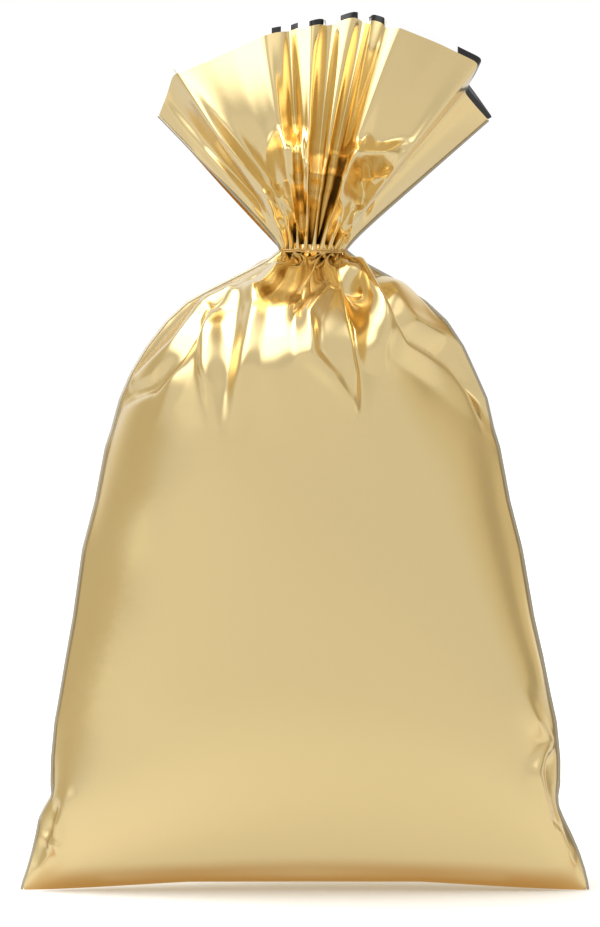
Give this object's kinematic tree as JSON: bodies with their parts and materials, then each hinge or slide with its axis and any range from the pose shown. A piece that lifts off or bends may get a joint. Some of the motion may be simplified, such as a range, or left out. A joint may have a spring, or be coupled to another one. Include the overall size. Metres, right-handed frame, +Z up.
{
  "type": "gift bag",
  "caption": "Tall gold foil gift bag, filled and standing, gathered at the neck with a thin metallic thread under a pleated ruff.",
  "frame": {"origin": "middle of the foot, on the surface that the bag stands on", "axes": "+Z up, front of the bag towards -Y, +X to the right as seen from the front"},
  "size_m": [0.2004, 0.099, 0.3097],
  "materials": {
    "gold_film": "polished",
    "silver_film": "polished",
    "weld": "satin",
    "tissue": "matte",
    "thread": "gloss"
  },
  "bodies": {
    "bag": {"base_fold": "gold_film", "front_panel": "gold_film", "back_panel": "gold_film", "left_side_weld": "weld", "right_side_weld": "weld", "stuffing": "tissue"},
    "neck": {"gathered_neck": "gold_film", "tie_turn_lower": "thread", "tie_turn_upper": "thread", "tie_knot": "thread", "tie_tail_left": "thread", "tie_tail_right": "thread"},
    "ruff": {"ruff_front": "gold_film", "ruff_back": "gold_film", "mouth_border_front": "silver_film", "mouth_border_back": "silver_film", "ruff_weld_left": "weld", "ruff_weld_right": "weld"}
  },
  "joints": [
    {"name": "neck_lean", "type": "hinge", "parent": "bag", "child": "neck", "pos_m": [0.003, 0, 0.226], "axis": [0, 1, 0], "range_deg": [-12, 12]},
    {"name": "ruff_nod", "type": "hinge", "parent": "neck", "child": "ruff", "pos_m": [0.003, 0, 0.226], "axis": [1, 0, 0], "range_deg": [-22, 22]}
  ]
}
